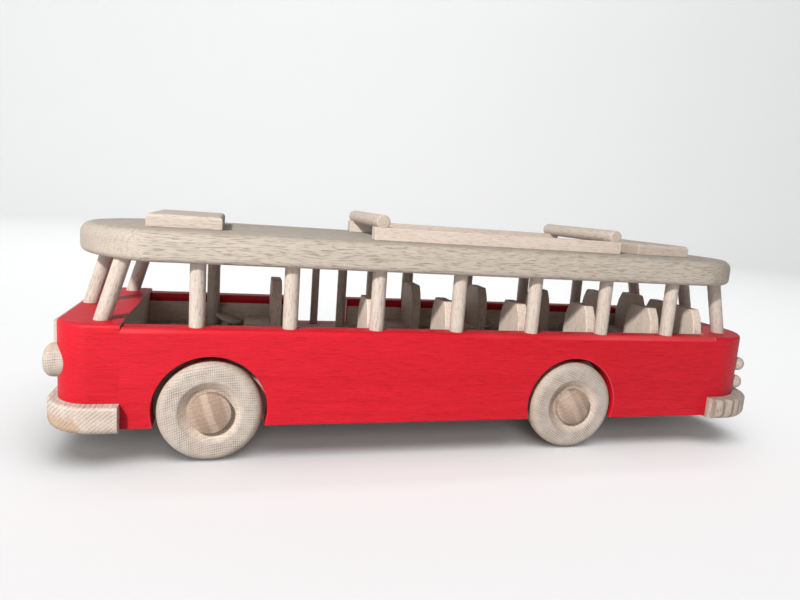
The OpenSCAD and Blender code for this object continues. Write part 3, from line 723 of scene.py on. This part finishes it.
for name, side in (("tail_lamps_left", 1), ("tail_lamps_right", -1)):
    lo, hi = corners(name)
    swing = math.radians(180 - side * LAMP_ANGLE)
    way = Vector((math.cos(swing), math.sin(swing), 0))
    foot = Vector((TAIL_TIP + TAIL_R, side * (TAIL_HALF - TAIL_R), 0)) + way * (TAIL_R - LAMP_SEAT)
    profile = button(LAMP_R, LAMP_SEAT + LAMP_PROUD, LAMP_R * LAMP_ROUND)
    both = [lathe(profile, axis_matrix(foot + Z * z, way), 48) for z in (lo.z + LAMP_R, hi.z - LAMP_R)]
    piece(name + "_buttons", joined(both), name, way, Z)

# Wheels and pegs

WHEEL_R, WHEEL_T, WHEEL_ROUND = 25.0, 12.0, 4.5
BORE_R, BORE_EDGE = 5.06, 0.3
DISH_R, DISH_DEPTH, DISH_RUN, DISH_LIP_R, DISH_FOOT_R = 15.5, 4.0, 4.6, 2.0, 2.5
# Depth over which the dish's colour comes in, and how far it spreads over the lip
DISH_FADE = 1.5
HUB_R, HUB_RIM, HUB_DOME, SHANK_R, SHANK_IN = 10.0, 4.0, 1.8, 5.0, 20.0
SHANK_EDGE, HUB_BACK_R, HUB_LIP_R = 0.6, 0.4, 0.35
# The dome stops a little short of the rim, where the lip's round begins.
DOME_SHARE = 0.965
# Distance of the axle blocks' sides from the middle, and the play beside a wheel
INNER_Y, GAP = 45.0, 0.4
# Turn of the grain on the wheels and on the pegs
WHEEL_TURN, PEG_TURN = {"front": 4, "rear": -20}, {"front": 19, "rear": 32}

DISH_Z = WHEEL_T - DISH_DEPTH
wheel_profile = rounded([(BORE_R, 0, BORE_EDGE), (WHEEL_R, 0, WHEEL_ROUND), (WHEEL_R, WHEEL_T, WHEEL_ROUND),
                         (DISH_R, WHEEL_T, DISH_LIP_R), (DISH_R - DISH_RUN, DISH_Z, DISH_FOOT_R),
                         (BORE_R, DISH_Z, BORE_EDGE)], step=9)
HEAD_Z = GAP + DISH_Z + GAP
dome_r = (HUB_R ** 2 + HUB_DOME ** 2) / (2 * HUB_DOME)
half_dome = math.degrees(math.asin(HUB_R / dome_r))
dome_arc = arc((0, HEAD_Z + HUB_RIM + HUB_DOME - dome_r), dome_r, 90 - half_dome * DOME_SHARE, 90, 14)
dome = [(max(r, 0), h) for r, h in dome_arc]
peg_profile = rounded([(0, -SHANK_IN, 0), (SHANK_R, -SHANK_IN, SHANK_EDGE), (SHANK_R, HEAD_Z, 0),
                       (HUB_R, HEAD_Z, HUB_BACK_R), (HUB_R, HEAD_Z + HUB_RIM, HUB_LIP_R),
                       (dome[0][0], dome[0][1], 0)], closed=False) + dome[1:]


def dish_of(axle_x):
    """Spot function of a wheel on this axle: how far a point lies down in its dish."""
    def dished(point):
        deep = INNER_Y + GAP + WHEEL_T - abs(point.y)
        off_axle = math.hypot(point.x - axle_x, point.z - AXLE_Z)
        return held(deep / DISH_FADE) * float(off_axle < DISH_R + DISH_FADE)
    return dished


for axle, x in AXLES.items():
    for side_name, side in (("left", 1), ("right", -1)):
        place = axis_matrix((x, side * INNER_Y, AXLE_Z), (0, side, 0))
        wheel = f"{axle}_{side_name}_wheel"
        turned = lathe(wheel_profile, place @ Matrix.Translation((0, 0, GAP)), 128, closed=True)
        piece(wheel + "_turned", turned, wheel, Y, Z, (WHEEL_WOOD,), body=wheel, turn=WHEEL_TURN[axle],
              spot=dish_of(x))
        peg = f"{axle}_{side_name}_peg"
        piece(peg + "_turned", lathe(peg_profile, place, 96), peg, Y, Z, (TURNED,),
              turn=PEG_TURN[axle])

# Seats and steering

SEAT_IN, SEAT_W, BACK_H, BACK_T, BASE_H, BASE_LEN = 18.5, 26.0, 31.5, 6.0, 5.0, 16.0
SHOULDER_W, SHOULDER_Z = SEAT_W * 0.19, BACK_H * 0.6
BEND_U, BEND_Z = SHOULDER_W * 0.35, SHOULDER_Z + (BACK_H - SHOULDER_Z) * 0.55
# Rounds of a back at its shoulder, its bend and its top, and of a base's front
SHOULDER_R, BEND_R, BACK_TOP_R, BASE_FRONT_R = 3, 2.5, 1.5, 3
SEAT_EDGE = 0.6
DRIVER_X = 95.2
# How far the seats of a row stand ahead of its pillar, and how that changes from row to row
LEFT_LEAD, LEFT_GAIN = 3.6, 0.5
RIGHT_LEAD, RIGHT_LOSS = 5.1, 2.2
# The bench's base, its left part's place and width, and its right part's place
BENCH_LEN, BENCH_LEFT_IN, BENCH_LEFT_W, BENCH_RIGHT_IN = 13.0, -5.0, 49.5, 10.0


def seat(name, node, front_x, side, inner=SEAT_IN, width=SEAT_W, base_len=BASE_LEN):
    """Back board and base block of one seat; inner is the distance of its aisle edge from the middle."""
    half = [(0, 0, 0), (0, SHOULDER_Z, SHOULDER_R), (BEND_U, BEND_Z, BEND_R),
            (SHOULDER_W, BACK_H, BACK_TOP_R)]
    outline = rounded(half + [(width - u, v, r) for u, v, r in reversed(half)])
    back = prism(outline, front_x - BACK_T, front_x,
                 lambda u, v, w: (w, side * (inner + u), FLOOR_TOP + v))
    outline = rounded([(0, 0, 0), (base_len, 0, 0), (base_len, BASE_H, BASE_FRONT_R), (0, BASE_H, 0)])
    base = prism(outline, inner, inner + width,
                 lambda u, v, w: (front_x + u, side * w, FLOOR_TOP + v))
    # Seats take the lighter beech, which is painted fill light for the shaded inside.
    piece(name + "_back", soften(back, SEAT_EDGE), node, Z, X, (INNER_WOOD_PAINTED_FILL,))
    piece(name + "_base", soften(base, BOARD_EDGE), node, Y, Z, (INNER_WOOD_PAINTED_FILL,))


seat("driver_seat", "driver_seat", DRIVER_X, -1)
for row in range(1, 6):
    pillar_lo, pillar_hi = corners(f"left_pillar_{row + 2}")
    x = (pillar_lo.x + pillar_hi.x) / 2
    seat(f"seat_{row}_left", f"seat_row_{row}", x + LEFT_LEAD + (row - 1) * LEFT_GAIN, 1)
    if row > 1:
        seat(f"seat_{row}_right", f"seat_row_{row}", x + RIGHT_LEAD - (row - 2) * RIGHT_LOSS, -1)
bench_x = WALL_REAR + BACK_T
seat("rear_bench_left", "rear_bench", bench_x, 1, BENCH_LEFT_IN, BENCH_LEFT_W, BENCH_LEN)
seat("rear_bench_right", "rear_bench", bench_x, -1, BENCH_RIGHT_IN, SEAT_W, BENCH_LEN)

STEERING_MIDDLE, STEERING_LEAN = Vector((120.2, -31.5, 54.2)), -18
STEERING_R, STEERING_HALF, STEERING_BORE_R = 8, 1, 1.56
STEERING_ROUND, BORE_ROUND = 0.8, 0.2
COLUMN_FOOT, COLUMN_R, PIN_R, FOOT_ROUND, COLUMN_ROUND = -10.46, 2.5, 1.5, 0.3, 0.2

column_way = leaning(STEERING_LEAN)
place = axis_matrix(STEERING_MIDDLE, column_way)
steering_profile = rounded([(STEERING_BORE_R, -STEERING_HALF, BORE_ROUND),
                            (STEERING_R, -STEERING_HALF, STEERING_ROUND),
                            (STEERING_R, STEERING_HALF, STEERING_ROUND),
                            (STEERING_BORE_R, STEERING_HALF, BORE_ROUND)])
piece("steering_wheel_turned", lathe(steering_profile, place, 64, closed=True), "steering_wheel",
      column_way, X, body="steering")
column_profile = rounded([(0, COLUMN_FOOT, 0), (COLUMN_R, COLUMN_FOOT, FOOT_ROUND),
                          (COLUMN_R, -STEERING_HALF, COLUMN_ROUND), (PIN_R, -STEERING_HALF, 0),
                          (PIN_R, STEERING_HALF, COLUMN_ROUND), (0, STEERING_HALF, 0)], closed=False)
piece("steering_column_dowel", lathe(column_profile, place, 48), "steering_column", column_way, X)

# Camera, floor and light, in metres

CAMERA_PLACE = (0.1176, 0.3511, 0.1312)
CAMERA_RIGHT = Vector((-0.9639, 0.2560, 0.0730))
CAMERA_UP = Vector((0.0300, -0.1681, 0.9853))
CAMERA_FORWARD = Vector((-0.2645, -0.9520, -0.1544))

camera = bpy.data.objects.new("camera", bpy.data.cameras.new("camera"))
link(camera)
camera.data.sensor_width = 36.0
camera.data.lens = 27.29
camera.data.clip_start = 0.01
camera_axes = Matrix((CAMERA_RIGHT, CAMERA_UP, -CAMERA_FORWARD)).transposed().to_4x4()
camera.matrix_world = Matrix.Translation(CAMERA_PLACE) @ camera_axes
bpy.context.scene.camera = camera

# A pale floor that rises in a wide curve all round
FLOOR_RINGS, FLOOR_FLAT_R, FLOOR_CURVE_R, FLOOR_RISE = (0, 0.5, 1.2), 2.2, 1.2, 3.0
sweep = [(r, 0) for r in FLOOR_RINGS]
sweep += arc((FLOOR_FLAT_R, FLOOR_CURVE_R), FLOOR_CURVE_R, -90, 0, 16)
sweep += [(FLOOR_FLAT_R + FLOOR_CURVE_R, FLOOR_RISE)]
floor_bm = lathe(sweep, Matrix.Identity(4), 96)
floor_mesh = bpy.data.meshes.new("floor")
floor_bm.to_mesh(floor_mesh)
floor_bm.free()
for face in floor_mesh.polygons:
    face.use_smooth = True
floor = bpy.data.objects.new("floor", floor_mesh)
link(floor)
pale = bpy.data.materials.new("pale_floor")
pale.use_nodes = True
pale_shader = pale.node_tree.nodes["Principled BSDF"]
pale_shader.inputs["Base Color"].default_value = rgb(0.64, 0.64, 0.64)
pale_shader.inputs["Roughness"].default_value = 0.9
pale_shader.inputs["Specular IOR Level"].default_value = 0.1
floor_mesh.materials.append(pale)


def lamp(name, place, target, size, watts, tint=(1, 1, 1)):
    """Round soft lamp that looks at target."""
    data = bpy.data.lights.new(name, "AREA")
    data.shape = "DISK"
    data.size = size
    data.energy = watts
    data.color = tint
    obj = bpy.data.objects.new(name, data)
    link(obj)
    obj.location = place
    obj.rotation_mode = "QUATERNION"
    obj.rotation_quaternion = (Vector(target) - Vector(place)).to_track_quat("-Z", "Y")
    return obj


def only_on(light, name, objects):
    """Lets a lamp shine on these objects alone."""
    group = bpy.data.collections.new(name)
    for obj in objects:
        group.objects.link(obj)
    light.light_linking.receiver_collection = group


key = lamp("key_light", (0.50, 0.62, 0.57), (0, 0, 0.05), size=0.07, watts=12.0, tint=(1.0, 0.985, 0.965))
only_on(key, "keyed", made_pieces)
fill = lamp("soft_front_light", (0.8, 0.9, 0.3), (0, 0, 0.06), size=0.8, watts=3.5, tint=(0.97, 0.96, 1.0))
only_on(fill, "filled", made_pieces)
for light in (lamp("floor_light", (0.0, 0.4, 2.8), (0, -2.0, 0.5), size=3.2, watts=100.0),
              lamp("low_floor_light", (0.2, 1.3, 0.55), (0, 0, 0), size=0.7, watts=8.0),
              lamp("backdrop_light", (0.0, -0.6, 2.3), (0, -3.3, 1.1), size=1.6, watts=45.0)):
    only_on(light, light.name + "_floor", [floor])

world = bpy.data.worlds.new("studio")
world.use_nodes = True
sky = world.node_tree.nodes["Background"]
sky.inputs["Color"].default_value = rgb(0.92, 0.95, 1.0)
sky.inputs["Strength"].default_value = 0.25
bpy.context.scene.world = world
bpy.context.scene.view_settings.view_transform = "Standard"
